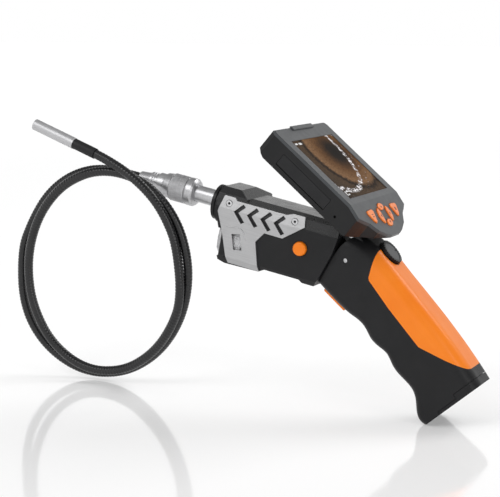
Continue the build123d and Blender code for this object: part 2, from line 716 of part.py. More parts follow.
def hinge_washers():
    washers = []
    for side in (-1, 1):
        low, high = sorted((side * 8.1, side * 8.65))
        washers.append(rod_y(4.8, low, high) - rod_y(PIN_R, low - 1, high + 1))
    return Compound(children=washers)


def screen_board():
    board = block((-62, 0), (-33, 33), (13.0, 14.6))
    return board + block((-50, -36), (-8, 6), (14.6, 16.4)) + block((-24, -12), (10, 22), (14.6, 17.0))


def key_mat():
    to_keys = screen_frame.inverse() * key_frame
    mat = to_keys * block((2.5, 24.0), (-30, 30), (-5.2, -3.2 - KEY_TRAVEL - 0.1))
    return mat & screen_hollow(0.3)


def port_sockets():
    usb = block((-61, -53), (-41.5, -34.0), (12.4, 15.6)) - block((-60.3, -53.7), (-42, -36), (13.1, 14.9))
    jack = rod_y(3.2, -41.5, -34.0, -43, 14.0) - rod_y(1.8, -42, -36, -43, 14.0)
    slot = block((-36, -22), (-41.5, -34.0), (12.8, 15.4)) - block((-35.2, -22.8), (-42, -36), (13.5, 14.7))
    return Compound(children=[usb, jack, slot])


def port_flap():
    low, high = FLAP_Z
    leaf = block(FLAP_X, (-44.0, -42.3), (low + 0.85, high))
    return leaf + rod_x(0.85, *FLAP_X, -43.15, low + 0.85)


def front_catch():
    bar = block((-80.2, -76.6), (-17.5, 17.5), (FACE_Z, FACE_Z + 1.3))
    return chamfer(bar.edges().group_by(Axis.Z)[-1], 0.5) & screen_band()


def screen_band():
    return plan_prism(screen_outline(0.2), 20, 40)


# ---------------------------------------------------------------- assembly

def build():
    casing = body_casing()
    outer = handle_solid(0)
    grip = grip_insert(outer)
    grip_shell = handle_casing(outer, grip)
    in_body = {
        "body_shell_left": body_shell(casing, -1),
        "body_shell_right": body_shell(casing, 1),
        "top_cover": top_cover(casing),
        "nose_collar": nose_collar(),
        "spindle_bushes": spindle_bushes(),
        "spindle_bulkhead": spindle_bulkhead(),
        "side_plate_left": side_plate(-1),
        "side_plate_right": side_plate(1),
        "plate_screws": plate_screws(),
        "side_button": side_button(),
        "button_board": button_board(),
        "main_board": main_board(),
        "neck_frame": neck_frame(),
        "spindle": spindle(),
        "spindle_gear": spindle_gear(),
        "spindle_clip": spindle_clip(),
        "drive_wheel": drive_wheel(),
        "crown_gear": crown_gear(),
        "wheel_axle": wheel_axle(),
        "coupling_nut": coupling_nut(),
        "ferrule": ferrule(),
        "seal_ring": seal_ring(),
    }
    in_handle = {
        "handle_shell_left": handle_shell(grip_shell, -1),
        "handle_shell_right": handle_shell(grip_shell, 1),
        "grip_insert": grip,
        "handle_screws": handle_screws(),
        "battery_door": battery_door(outer),
        "aa_cells": aa_cells(),
        "cell_contacts": cell_contacts(),
        "dimmer": dimmer(),
        "knob": knob(),
        "knob_disc": knob_disc(),
    }
    in_screen = {
        "bezel": bezel(),
        "screen_window": screen_window(),
        "display_panel": display_panel(),
        "rear_housing": rear_housing(),
        "housing_screws": housing_screws(),
        "hinge_arm": hinge_arm(),
        "hinge_pin": hinge_pin(),
        "hinge_washers": hinge_washers(),
        "screen_board": screen_board(),
        "key_mat": key_mat(),
        "port_sockets": port_sockets(),
        "port_flap": port_flap(),
        "front_catch": front_catch(),
    }
    nodes = {name: body_frame * shape for name, shape in in_body.items()}
    nodes.update({name: handle_frame * shape for name, shape in in_handle.items()})
    nodes.update({name: screen_frame * shape for name, shape in in_screen.items()})
    nodes.update({name: key_frame * key(points) for name, points in key_outlines().items()})
    nodes["trigger"] = trigger_frame * trigger()
    nodes["trigger_switch"] = trigger_frame * trigger_switch()
    nodes["probe_tube_lead"] = smooth_tube(LEAD_ROUTE, TUBE_R)
    nodes["probe_coil"] = coil_frame * probe_coil()
    nodes["probe_tube_tail"] = smooth_tube(TAIL_ROUTE, TUBE_R)
    nodes["head_sleeve"] = head_sleeve()
    nodes["head_barrel"] = head_barrel()
    nodes["head_window"] = head_window()
    nodes["led_ring"] = led_ring()
    return nodes


def save(nodes):
    os.makedirs("parts", exist_ok=True)
    for name, shape in nodes.items():
        solids = shape.solids()
        whole = solids[0] if len(solids) == 1 else Compound(children=list(solids))
        export_step(whole, "parts/" + name + ".step")


if __name__ == "__main__":
    save(build())
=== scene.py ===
"""Inspection camera in Blender: materials, detailed pieces, camera and light on the frame."""

import json
import math

import bpy
from mathutils import Matrix, Vector


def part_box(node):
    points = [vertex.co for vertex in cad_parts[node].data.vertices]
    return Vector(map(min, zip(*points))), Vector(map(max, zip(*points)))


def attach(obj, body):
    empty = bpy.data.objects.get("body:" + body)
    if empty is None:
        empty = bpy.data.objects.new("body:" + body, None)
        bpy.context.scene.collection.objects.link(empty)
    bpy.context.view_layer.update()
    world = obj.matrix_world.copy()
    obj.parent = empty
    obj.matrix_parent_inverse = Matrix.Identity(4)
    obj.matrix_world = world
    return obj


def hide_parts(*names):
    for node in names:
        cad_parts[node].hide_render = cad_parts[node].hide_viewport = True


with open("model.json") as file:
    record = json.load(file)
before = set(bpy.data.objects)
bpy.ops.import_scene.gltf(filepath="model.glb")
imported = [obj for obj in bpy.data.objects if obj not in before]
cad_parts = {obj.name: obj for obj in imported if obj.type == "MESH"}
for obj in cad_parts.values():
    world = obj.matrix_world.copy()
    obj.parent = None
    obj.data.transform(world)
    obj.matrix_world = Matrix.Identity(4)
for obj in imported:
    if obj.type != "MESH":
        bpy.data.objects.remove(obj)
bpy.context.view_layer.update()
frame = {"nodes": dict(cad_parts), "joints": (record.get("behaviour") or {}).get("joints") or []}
nodes = frame["nodes"]
joints = {joint["name"]: joint for joint in frame["joints"]}
MM = 0.001


# ---------------------------------------------------------------- places taken from the frame

def axes_at(origin, along, upright=None):
    """Matrix of a part's own frame: X is `along`, Y the tool's Y, and Z `upright` or else
    square to both."""
    x = Vector(along).normalized()
    y = Vector((0, 1, 0))
    z = x.cross(y) if upright is None else Vector(upright).normalized()
    matrix = Matrix((x, y, z)).transposed().to_4x4()
    matrix.translation = Vector(origin)
    return matrix


BODY = axes_at(joints["probe_turn"]["pos_m"], joints["probe_turn"]["axis"])
SCREEN = axes_at(joints["screen_tilt"]["pos_m"], joints["port_flap_open"]["axis"])
KEY_OUT = -Vector(joints["key_up_press"]["axis"])
WHEEL_AT = BODY.inverted() @ Vector(joints["thumbwheel_turn"]["pos_m"])

TUBE_R = 3.35 * MM


# ---------------------------------------------------------------- camera, light and floor

AIM = Vector((-42.6, 0.0, 108.8)) * MM
CAMERA_AZIMUTH = math.radians(25.0)
CAMERA_HEIGHT = math.radians(8.5)
CAMERA_DISTANCE = 1.1
SENSOR_WIDTH_MM = 36.0
LENS_MM = 112.46
NEAR_CLIP = 0.02

FLOOR_REACH = 12.0
FLOOR_GREY = 0.93
FLOOR_ROUGHNESS = 0.08
FLOOR_GLOW = 0.22

# Sky brightness by how far up a direction points: 0 at the horizon and below, 1 straight up.
SKY_STOPS = [(0.0, 1.0), (0.22, 1.0), (0.5, 0.30), (0.8, 0.22), (1.0, 0.5)]

# Name, place, target, size and power of each area light.
LIGHTS = [
    ("key_light", (-0.5, -1.3, 1.3), (0, 0, 0.1), (0.9, 0.9), 9.0),
    ("back_light", (0.7, 1.0, 1.2), (0, 0, 0.12), (1.0, 0.6), 9.0),
    ("side_light", (1.3, -0.7, 0.5), (0, 0, 0.1), (0.5, 0.9), 4.0),
]


def add_camera():
    data = bpy.data.cameras.new("camera")
    data.sensor_width = SENSOR_WIDTH_MM
    data.lens = LENS_MM
    camera = bpy.data.objects.new("camera", data)
    bpy.context.scene.collection.objects.link(camera)
    level = math.cos(CAMERA_HEIGHT)
    away = Vector((
        math.sin(CAMERA_AZIMUTH) * level,
        -math.cos(CAMERA_AZIMUTH) * level,
        math.sin(CAMERA_HEIGHT),
    ))
    camera.location = AIM + away * CAMERA_DISTANCE
    camera.rotation_euler = away.to_track_quat("Z", "Y").to_euler()
    data.clip_start = NEAR_CLIP
    bpy.context.scene.camera = camera


def add_area_light(name, place, target, size, power):
    data = bpy.data.lights.new(name, "AREA")
    data.shape = "RECTANGLE"
    data.size = size[0]
    data.size_y = size[1]
    data.energy = power
    light = bpy.data.objects.new(name, data)
    bpy.context.scene.collection.objects.link(light)
    light.location = place
    away = Vector(place) - Vector(target)
    light.rotation_euler = away.to_track_quat("Z", "Y").to_euler()


def add_floor():
    mesh = bpy.data.meshes.new("floor")
    signs = ((-1, -1), (1, -1), (1, 1), (-1, 1))
    corners = [(x * FLOOR_REACH, y * FLOOR_REACH, 0) for x, y in signs]
    mesh.from_pydata(corners, [], [(0, 1, 2, 3)])
    floor = bpy.data.objects.new("floor", mesh)
    bpy.context.scene.collection.objects.link(floor)
    material = bpy.data.materials.new("floor")
    material.use_nodes = True
    shader = material.node_tree.nodes["Principled BSDF"]
    shader.inputs["Base Color"].default_value = (FLOOR_GREY, FLOOR_GREY, FLOOR_GREY, 1)
    shader.inputs["Roughness"].default_value = FLOOR_ROUGHNESS
    shader.inputs["Specular IOR Level"].default_value = 0.5
    shader.inputs["Emission Color"].default_value = (1, 1, 1, 1)
    shader.inputs["Emission Strength"].default_value = FLOOR_GLOW
    mesh.materials.append(material)


def colour_ramp(tree, factor, stops):
    """Colour from (position, colour) stops in rising order."""
    ramp = tree.nodes.new("ShaderNodeValToRGB")
    tree.links.new(factor, ramp.inputs["Fac"])
    elements = ramp.color_ramp.elements
    elements[0].position = stops[0][0]
    elements[1].position = stops[-1][0]
    for position, _ in stops[1:-1]:
        elements.new(position)
    for element, (_, colour) in zip(elements, stops):
        element.color = (*colour, 1)
    return ramp.outputs["Color"]


def add_world():
    world = bpy.data.worlds.new("studio")
    bpy.context.scene.world = world
    world.use_nodes = True
    tree = world.node_tree
    background = tree.nodes["Background"]
    coordinates = tree.nodes.new("ShaderNodeTexCoord")
    split = tree.nodes.new("ShaderNodeSeparateXYZ")
    tree.links.new(coordinates.outputs["Generated"], split.inputs[0])
    stops = [(position, (grey, grey, grey)) for position, grey in SKY_STOPS]
    sky = colour_ramp(tree, split.outputs[2], stops)
    tree.links.new(sky, background.inputs["Color"])
    background.inputs["Strength"].default_value = 1.0


bpy.context.scene.view_settings.view_transform = "Standard"
add_camera()
add_world()
add_floor()
for light in LIGHTS:
    add_area_light(*light)


# ---------------------------------------------------------------- node helpers

def place_coordinates(tree, matrix=None):
    """Node output giving each point's place in the part's own frame, in metres."""
    coordinates = tree.nodes.new("ShaderNodeTexCoord")
    if matrix is None:
        return coordinates.outputs["Object"]
    shift = tree.nodes.new("ShaderNodeVectorMath")
    shift.operation = "SUBTRACT"
    tree.links.new(coordinates.outputs["Object"], shift.inputs[0])
    shift.inputs[1].default_value = matrix.translation
    combine = tree.nodes.new("ShaderNodeCombineXYZ")
    for i in range(3):
        dot = tree.nodes.new("ShaderNodeVectorMath")
        dot.operation = "DOT_PRODUCT"
        tree.links.new(shift.outputs[0], dot.inputs[0])
        dot.inputs[1].default_value = matrix.col[i][:3]
        tree.links.new(dot.outputs["Value"], combine.inputs[i])
    return combine.outputs[0]


def scaled(tree, vector, scale):
    node = tree.nodes.new("ShaderNodeVectorMath")
    node.operation = "MULTIPLY"
    tree.links.new(vector, node.inputs[0])
    node.inputs[1].default_value = scale
    return node.outputs[0]


def noise(tree, vector, scale, detail=3.0, roughness=0.5):
    node = tree.nodes.new("ShaderNodeTexNoise")
    node.inputs["Scale"].default_value = scale
    node.inputs["Detail"].default_value = detail
    node.inputs["Roughness"].default_value = roughness
    tree.links.new(vector, node.inputs["Vector"])
    return node.outputs["Fac"]


def remap(tree, value, low, high, from_low=0.3, from_high=0.7):
    node = tree.nodes.new("ShaderNodeMapRange")
    node.inputs["From Min"].default_value = from_low
    node.inputs["From Max"].default_value = from_high
    node.inputs["To Min"].default_value = low
    node.inputs["To Max"].default_value = high
    tree.links.new(value, node.inputs["Value"])
    return node.outputs["Result"]


def maths(tree, operation, first, second=None, third=None):
    node = tree.nodes.new("ShaderNodeMath")
    node.operation = operation
    for socket, value in zip(node.inputs, (first, second, third)):
        if value is None:
            continue
        if isinstance(value, (int, float)):
            socket.default_value = value
        else:
            tree.links.new(value, socket)
    return node.outputs[0]


def mixed(tree, factor, first, second):
    """Colour between two, each a tuple or a node output."""
    node = tree.nodes.new("ShaderNodeMix")
    node.data_type = "RGBA"
    tree.links.new(factor, node.inputs["Factor"])
    for socket, value in ((node.inputs[6], first), (node.inputs[7], second)):
        if isinstance(value, tuple):
            socket.default_value = (*value, 1)
        else:
            tree.links.new(value, socket)
    return node.outputs[2]


def bumped(tree, height, strength, distance, normal):
    node = tree.nodes.new("ShaderNodeBump")
    node.inputs["Strength"].default_value = strength
    node.inputs["Distance"].default_value = distance
    tree.links.new(height, node.inputs["Height"])
    if normal is not None:
        tree.links.new(normal, node.inputs["Normal"])
    return node.outputs["Normal"]


def rounded_normal(tree, radius):
    node = tree.nodes.new("ShaderNodeBevel")
    node.samples = 6
    node.inputs["Radius"].default_value = radius
    return node.outputs["Normal"]


def new_material(name):
    material = bpy.data.materials.new(name)
    material.use_nodes = True
    tree = material.node_tree
    return material, tree, tree.nodes["Principled BSDF"]


# ---------------------------------------------------------------- materials

def moulded(name, colour, other, rough, grain=9000.0, grain_depth=0.00003, coat=0.0, edge=0.0004,
            specular=0.5):
    """Moulded plastic or rubber: faint cloudy colour, uneven gloss, fine grain, rounded edges."""
    material, tree, shader = new_material(name)
    place = place_coordinates(tree)
    cloud = noise(tree, place, 55.0, 4.0)
    fine = noise(tree, place, grain, 2.0)
    shade = mixed(tree, remap(tree, cloud, 0, 1), colour, other)
    tree.links.new(shade, shader.inputs["Base Color"])
    smudge = noise(tree, place, 140.0, 5.0, 0.6)
    gloss = remap(tree, smudge, rough - 0.05, rough + 0.07)
    tree.links.new(gloss, shader.inputs["Roughness"])
    normal = bumped(tree, fine, 0.35, grain_depth, rounded_normal(tree, edge))
    tree.links.new(normal, shader.inputs["Normal"])
    shader.inputs["Coat Weight"].default_value = coat
    shader.inputs["Coat Roughness"].default_value = 0.12
    shader.inputs["Specular IOR Level"].default_value = specular
    return material


def brushed(name, colour, other, rough, matrix, grain, metallic=1.0, edge=0.0003, depth=0.00002):
    """Metal with fine tool marks; `grain` is how often they repeat along each axis, per metre."""
    material, tree, shader = new_material(name)
    place = place_coordinates(tree, matrix)
    marks = noise(tree, scaled(tree, place, grain), 1.0, 3.0)
    cloud = noise(tree, place, 60.0, 4.0)
    shade = maths(tree, "ADD", maths(tree, "MULTIPLY", marks, 0.7),
                  maths(tree, "MULTIPLY", cloud, 0.3))
    tint = mixed(tree, remap(tree, shade, 0, 1, 0.35, 0.65), colour, other)
    tree.links.new(tint, shader.inputs["Base Color"])
    tree.links.new(remap(tree, marks, rough - 0.07, rough + 0.1), shader.inputs["Roughness"])
    shader.inputs["Metallic"].default_value = metallic
    normal = bumped(tree, marks, 0.5, depth, rounded_normal(tree, edge))
    tree.links.new(normal, shader.inputs["Normal"])
    return material


charcoal = moulded("charcoal_plastic", (0.008, 0.008, 0.009), (0.011, 0.011, 0.012), 0.40,
                   specular=0.27)
deep_black = moulded("black_plastic", (0.006, 0.006, 0.0065), (0.009, 0.009, 0.0095), 0.34,
                     specular=0.3)
gloss_black = moulded("gloss_black_plastic", (0.010, 0.010, 0.011), (0.014, 0.014, 0.015), 0.26,
                      grain=5000.0, grain_depth=0.00001, coat=0.2, specular=0.4)
orange = moulded("orange_plastic", (0.93, 0.215, 0.006), (0.96, 0.24, 0.010), 0.36,
                 grain_depth=0.00002, coat=0.1, specular=0.3)
key_orange = moulded("orange_key", (0.90, 0.20, 0.02), (0.95, 0.24, 0.03), 0.3,
                     grain_depth=0.00001, coat=0.2, edge=0.0005)
bezel_grey = moulded("grey_bezel", (0.050, 0.054, 0.058), (0.062, 0.066, 0.070), 0.36,
                     grain=11000.0, grain_depth=0.00002, edge=0.0006, specular=0.35)
soft_black = moulded("soft_rubber", (0.010, 0.010, 0.011), (0.015, 0.015, 0.016), 0.5,
                     specular=0.3)
sheath = moulded("tube_sheath", (0.005, 0.005, 0.0055), (0.010, 0.010, 0.011), 0.27, edge=0.0001)
board_green = moulded("circuit_board", (0.01, 0.09, 0.03), (0.02, 0.13, 0.05), 0.4)
acetal = moulded("acetal", (0.75, 0.74, 0.68), (0.8, 0.79, 0.74), 0.45)
# Painted shade: a near-black, non-reflecting material for the discs that stand in for the shade
# inside small holes and screw sockets.
painted_hole_shade = moulded("painted_hole_shade", (0.001, 0.001, 0.001), (0.002, 0.002, 0.002), 0.8,
                     specular=0.0)
knob_grey = moulded("knob_face", (0.035, 0.037, 0.040), (0.05, 0.053, 0.057), 0.3, specular=0.4)
turned_metal = brushed("turned_aluminium", (0.44, 0.44, 0.45), (0.62, 0.62, 0.63), 0.35, BODY,
                       (5200.0, 40.0, 40.0), 0.88)
plate_metal = brushed("plate_aluminium", (0.42, 0.42, 0.425), (0.50, 0.50, 0.505), 0.38, BODY,
                      (60.0, 900.0, 2600.0), 0.85)
knurled_metal = brushed("knurled_aluminium", (0.52, 0.52, 0.53), (0.72, 0.72, 0.73), 0.42, BODY,
                        (900.0, 900.0, 900.0), 0.6)
steel = brushed("bright_steel", (0.50, 0.50, 0.51), (0.70, 0.70, 0.71), 0.34, BODY,
                (900.0, 900.0, 900.0))
brass = brushed("brass", (0.6, 0.42, 0.16), (0.7, 0.5, 0.2), 0.3, BODY, (3000.0, 60.0, 60.0))


def head_metal():
    """Camera head: fine lathe marks across its length."""
    low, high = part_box("head_barrel")
    along = (Vector((low[0], 0, high[2])) - Vector((high[0], 0, low[2]))).normalized()
    matrix = axes_at((low[0], 0, high[2]), along)
    return brushed("head_aluminium", (0.50, 0.50, 0.51), (0.62, 0.62, 0.63), 0.46, matrix,
                   (6000.0, 50.0, 50.0), 0.8)


def clear_window():
    material, tree, shader = new_material("clear_window")
    place = place_coordinates(tree)
    film = noise(tree, place, 300.0, 3.0)
    tree.links.new(remap(tree, film, 0.03, 0.08), shader.inputs["Roughness"])
    shader.inputs["Base Color"].default_value = (0.02, 0.02, 0.025, 1)
    shader.inputs["Coat Weight"].default_value = 1.0
    return material


# The picture is laid out from the upper left corner of the window, 71 units across and 53 down.
# A unit is 1 mm across and a little over 1 mm down.
DOWN_PER_METRE = 953.0
DOWN_AT_HINGE = 64.8
ACROSS_PER_METRE = 1000.0
ACROSS_AT_MIDDLE = 35.5
OPENING_AT = (50.0, 15.0)
OPENING_STRETCH = 0.85
PICTURE_DEPTH = 60.0
SEAM_CENTRE = (22.0, 8.0)
SEAM_RADIUS = 39.5
SEAM_COLOUR = (0.95, 0.93, 0.95)
MARK_COLOUR = (0.85, 0.85, 0.85)
PICTURE_GLOW = 0.9
# Colour of the pipe wall from the dark opening outwards.
WALL_STOPS = [
    (0.0, (0.004, 0.002, 0.001)), (0.13, (0.012, 0.006, 0.002)), (0.20, (0.05, 0.022, 0.006)),
    (0.32, (0.13, 0.06, 0.02)), (0.48, (0.22, 0.12, 0.055)), (0.54, (0.008, 0.004, 0.002)),
    (0.60, (0.07, 0.042, 0.022)), (0.75, (0.06, 0.04, 0.024)), (1.0, (0.012, 0.008, 0.005)),
]
# Range across and range down of each plain status mark.
STATUS_MARKS = [
    ((2.5, 6.5), (2.0, 3.4)), ((8.5, 12.5), (2.0, 3.8)), ((13.0, 13.6), (2.4, 3.4)),
    ((3.0, 4.2), (46.5, 50.5)), ((5.2, 9.5), (46.5, 47.5)), ((5.2, 8.0), (49.0, 50.0)),
]


def screen_picture():
    """Lit display: a brown pipe wall round a dark opening, a wet bright seam and status marks."""
    material, tree, shader = new_material("screen_picture")
    place = place_coordinates(tree, SCREEN)
    split = tree.nodes.new("ShaderNodeSeparateXYZ")
    tree.links.new(place, split.inputs[0])
    down = maths(tree, "MULTIPLY_ADD", split.outputs[0], DOWN_PER_METRE, DOWN_AT_HINGE)
    across = maths(tree, "MULTIPLY_ADD", split.outputs[1], ACROSS_PER_METRE, ACROSS_AT_MIDDLE)

    def distance_from(across_mm, down_mm, stretch=1.0):
        """Distance and angle of each point from a place on the picture."""
        da = maths(tree, "MULTIPLY", maths(tree, "SUBTRACT", across, across_mm), stretch)
        dd = maths(tree, "SUBTRACT", down, down_mm)
        square = maths(tree, "ADD", maths(tree, "MULTIPLY", da, da),
                       maths(tree, "MULTIPLY", dd, dd))
        return maths(tree, "SQRT", square), maths(tree, "ARCTAN2", dd, da)

    def marks(across_range, down_range):
        """1 inside a rectangle of the picture, 0 outside."""
        inside = maths(tree, "MULTIPLY", maths(tree, "GREATER_THAN", across, across_range[0]),
                       maths(tree, "LESS_THAN", across, across_range[1]))
        below = maths(tree, "GREATER_THAN", down, down_range[0])
        inside = maths(tree, "MULTIPLY", inside, below)
        return maths(tree, "MULTIPLY", inside, maths(tree, "LESS_THAN", down, down_range[1]))

    away, angle = distance_from(*OPENING_AT, OPENING_STRETCH)
    polar = tree.nodes.new("ShaderNodeCombineXYZ")
    tree.links.new(maths(tree, "MULTIPLY", angle, 9.0), polar.inputs[0])
    tree.links.new(maths(tree, "MULTIPLY", away, 0.12), polar.inputs[1])
    streaks = noise(tree, polar.outputs[0], 1.6, 5.0, 0.65)
    grit = noise(tree, place, 900.0, 6.0, 0.75)
    streak_shift = maths(tree, "MULTIPLY", maths(tree, "SUBTRACT", streaks, 0.5), 9.0)
    depth = maths(tree, "ADD", away, streak_shift)
    wall_colour = colour_ramp(tree, maths(tree, "DIVIDE", depth, PICTURE_DEPTH), WALL_STOPS)
    mottled = mixed(tree, remap(tree, grit, 0, 1, 0.25, 0.75),
                    (0.12, 0.11, 0.10), (1.9, 1.85, 1.85))
    wall = tree.nodes.new("ShaderNodeMix")
    wall.data_type = "RGBA"
    wall.blend_type = "MULTIPLY"
    wall.inputs["Factor"].default_value = 0.9
    tree.links.new(wall_colour, wall.inputs[6])
    tree.links.new(mottled, wall.inputs[7])
    seam_away, _ = distance_from(*SEAM_CENTRE)
    off_seam = maths(tree, "SUBTRACT", seam_away, SEAM_RADIUS)
    seam = remap(tree, maths(tree, "ABSOLUTE", off_seam), 1.0, 0.0, 1.5, 6.5)
    low_corner = maths(tree, "MULTIPLY", remap(tree, off_seam, 0.0, 0.8, 0.0, 6.0),
                       remap(tree, off_seam, 1.0, 0.7, 6.0, 26.0))
    wet = maths(tree, "MAXIMUM", seam, low_corner)
    glints = noise(tree, scaled(tree, place, (420.0, 300.0, 400.0)), 1.0, 3.0, 0.75)
    shine = remap(tree, maths(tree, "MULTIPLY", wet, glints), 0.0, 1.0, 0.49, 0.55)
    picture = mixed(tree, shine, wall.outputs[2], SEAM_COLOUR)
    icons = None
    for across_range, down_range in STATUS_MARKS:
        box = marks(across_range, down_range)
        icons = box if icons is None else maths(tree, "MAXIMUM", icons, box)
    picture = mixed(tree, icons, picture, MARK_COLOUR)
    shader.inputs["Base Color"].default_value = (0.006, 0.006, 0.006, 1)
    tree.links.new(picture, shader.inputs["Emission Color"])
    shader.inputs["Emission Strength"].default_value = PICTURE_GLOW
    shader.inputs["Specular IOR Level"].default_value = 0.12
    shader.inputs["IOR"].default_value = 1.12
    shader.inputs["Roughness"].default_value = 0.25
    return material


def paint(material, *names):
    """Gives carried-over CAD nodes one material."""
    for name in names:
        mesh = nodes[name].data
        mesh.materials.clear()
        mesh.materials.append(material)


paint(charcoal, "body_shell_left", "body_shell_right", "handle_shell_left", "handle_shell_right",
      "neck_frame", "battery_door", "spindle_bulkhead", "dimmer")
paint(deep_black, "nose_collar", "rear_housing", "knob", "hinge_arm")
paint(gloss_black, "top_cover")
paint(orange, "grip_insert", "trigger", "side_button")
paint(key_orange, "key_up", "key_down", "key_left", "key_right", "key_menu", "key_enter")
paint(bezel_grey, "bezel", "front_catch")
paint(knob_grey, "knob_disc")
paint(soft_black, "port_flap", "seal_ring", "key_mat", "head_sleeve")
paint(sheath, "probe_tube_lead", "probe_coil", "probe_tube_tail")
paint(board_green, "main_board", "button_board", "screen_board", "trigger_switch", "led_ring",
      "aa_cells")
paint(acetal, "spindle_gear", "crown_gear")
paint(turned_metal, "spindle", "coupling_nut", "ferrule")
paint(knurled_metal, "drive_wheel")
paint(plate_metal, "side_plate_left", "side_plate_right")
paint(steel, "plate_screws", "handle_screws", "housing_screws", "hinge_pin", "wheel_axle",
      "spindle_clip", "hinge_washers", "cell_contacts", "port_sockets")
paint(brass, "spindle_bushes")
paint(head_metal(), "head_barrel")
paint(clear_window(), "head_window", "display_panel")
paint(screen_picture(), "screen_window")


# ---------------------------------------------------------------- probe tube

# The route's points in mm, the same as in part.py.
LEAD_ROUTE = [
    (-129.41, 0.0, 155.28), (-144.5, 0.0, 158.35), (-160.5, -0.3, 160.4), (-177.0, -0.5, 158.2),
    (-193.8, -0.8, 151.0), (-209.8, -1.4, 137.6), (-222.8, -2.3, 116.5), (-231.0, -3.3, 96.0),
]
TAIL_ROUTE = [
    (-92.5, -10.3, 91.5), (-93.4, -14.0, 108.5), (-98.0, -18.5, 126.5), (-106.6, -21.5, 142.5),
    (-121.5, -22.7, 156.6), (-142.6, -23.0, 168.97), (-156.58, -23.0, 174.44),
]
COIL_AT = Vector((-160.9, -3.5, 83.7))
COIL_TILT = math.radians(9.4)
# Long half, short half, lean, shift along X and shift along Z of each oval turn.
OUTER_TURN = (84.0, 69.0, math.radians(61.0), -0.8, 0.4)
INNER_TURN = (79.0, 61.0, math.radians(65.1), 6.6, 0.6)
COIL_SPREAD = 7.4
TURN_STEP = 24
FIRST_TURN_ANGLE = 180 + TURN_STEP
LAST_TURN_ANGLE = 720
INWARD_FROM = 330
INWARD_OVER = 260
# The spline runs about 2% inside control points that are this far apart.
CONTROL_GROWTH = 1.022
RIB_STEP = 2.4 * MM
RIB_DEPTH = 0.3 * MM
RINGS_PER_RIB = 4


def turn_point(degrees, inner):
    """Point of the coil at an angle; `inner` is 0 on the outer turn and 1 on the inner one."""
    long_half, short_half, lean, shift_x, shift_z = [
        a + (b - a) * inner for a, b in zip(OUTER_TURN, INNER_TURN)
    ]
    angle = math.radians(degrees)
    reach = CONTROL_GROWTH * long_half * short_half / math.hypot(
        short_half * math.cos(angle - lean), long_half * math.sin(angle - lean)
    )
    x = reach * math.cos(angle) + shift_x
    z = reach * math.sin(angle) + shift_z
    y = -COIL_SPREAD * inner
    cosine = math.cos(COIL_TILT)
    sine = math.sin(COIL_TILT)
    return COIL_AT + Vector((x, y * cosine - z * sine, y * sine + z * cosine))


def tube_route():
    """Control points of the whole tube: out of the ferrule, two turns, then up to the head."""
    turns = []
    for degrees in range(FIRST_TURN_ANGLE, LAST_TURN_ANGLE + 1, TURN_STEP):
        inner = min(1.0, max(0.0, (degrees - INWARD_FROM) / INWARD_OVER))
        turns.append(turn_point(degrees, inner))
    route = [Vector(p) for p in LEAD_ROUTE] + turns + [Vector(p) for p in TAIL_ROUTE[1:]]
    return [p * MM for p in route]


def smooth_line(points):
    """Points along the NURBS spline of order 3 that has the given control points."""
    curve = bpy.data.curves.new("route", "CURVE")
    curve.dimensions = "3D"
    spline = curve.splines.new("NURBS")
    spline.points.add(len(points) - 1)
    for control, point in zip(spline.points, points):
        control.co = (*point, 1)
    spline.order_u = 3
    spline.use_endpoint_u = True
    spline.resolution_u = 24
    holder = bpy.data.objects.new("route", curve)
    bpy.context.scene.collection.objects.link(holder)
    depsgraph = bpy.context.evaluated_depsgraph_get()
    line = bpy.data.meshes.new_from_object(holder.evaluated_get(depsgraph))
    found = [v.co.copy() for v in line.vertices]
    bpy.data.objects.remove(holder)
    bpy.data.meshes.remove(line)
    return found


def resampled(line, step):
    """The same line with points a fixed distance apart."""
    total = sum((b - a).length for a, b in zip(line, line[1:]))
    count = max(2, round(total / step))
    points = [line[0]]
    travelled = 0.0
    target = total / count
    for a, b in zip(line, line[1:]):
        length = (b - a).length
        while len(points) < count and travelled + length >= target * len(points):
            points.append(a.lerp(b, (target * len(points) - travelled) / length))
        travelled += length
    points.append(line[-1])
    return points, total


def link_mesh(name, vertices, faces, material, smooth=True):
    """New object from vertices and faces, in the scene and with its material."""
    mesh = bpy.data.meshes.new(name)
    mesh.from_pydata([tuple(v) for v in vertices], [], faces)
    mesh.update()
    if smooth:
        mesh.shade_smooth()
    mesh.materials.append(material)
    piece = bpy.data.objects.new(name, mesh)
    bpy.context.scene.collection.objects.link(piece)
    return piece


def ribbed_tube(name, line, radius, rib_step, rib_depth, material, sides=20):
    """Closed mesh tube along a line, with a groove every `rib_step`; returns it, its centres and
    its length."""
    rings, total = resampled(line, rib_step / RINGS_PER_RIB)
    vertices = []
    faces = []
    side = Vector((0, 1, 0))
    for i, centre in enumerate(rings):
        behind = rings[max(i - 1, 0)]
        ahead = rings[min(i + 1, len(rings) - 1)]
        along = (ahead - behind).normalized()
        side = (side - along * side.dot(along)).normalized()
        other = along.cross(side)
        reach = radius - (rib_depth if i % RINGS_PER_RIB == 0 else 0.0)
        for k in range(sides):
            angle = 2 * math.pi * k / sides
            out = side * math.cos(angle) * reach
            vertices.append(centre + out + other * math.sin(angle) * reach)
    for i in range(len(rings) - 1):
        for k in range(sides):
            n = (k + 1) % sides
            here = i * sides
            after = (i + 1) * sides
            faces.append((here + k, after + k, after + n, here + n))
    faces.append(tuple(reversed(range(sides))))
    faces.append(tuple(range((len(rings) - 1) * sides, len(rings) * sides)))
    return link_mesh(name, vertices, faces, material), rings, total


tube_line = smooth_line(tube_route())
tube, tube_path, tube_length = ribbed_tube("probe_tube", tube_line, TUBE_R, RIB_STEP, RIB_DEPTH,
                                           sheath)
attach(tube, "probe")
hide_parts("probe_tube_lead", "probe_coil", "probe_tube_tail")


# ---------------------------------------------------------------- turned and knurled metal

CUTS_PER_DIAMOND = 4


def triangle_wave(value):
    """1 at whole numbers, 0 halfway between them."""
    return abs(2 * (value - math.floor(value)) - 1)


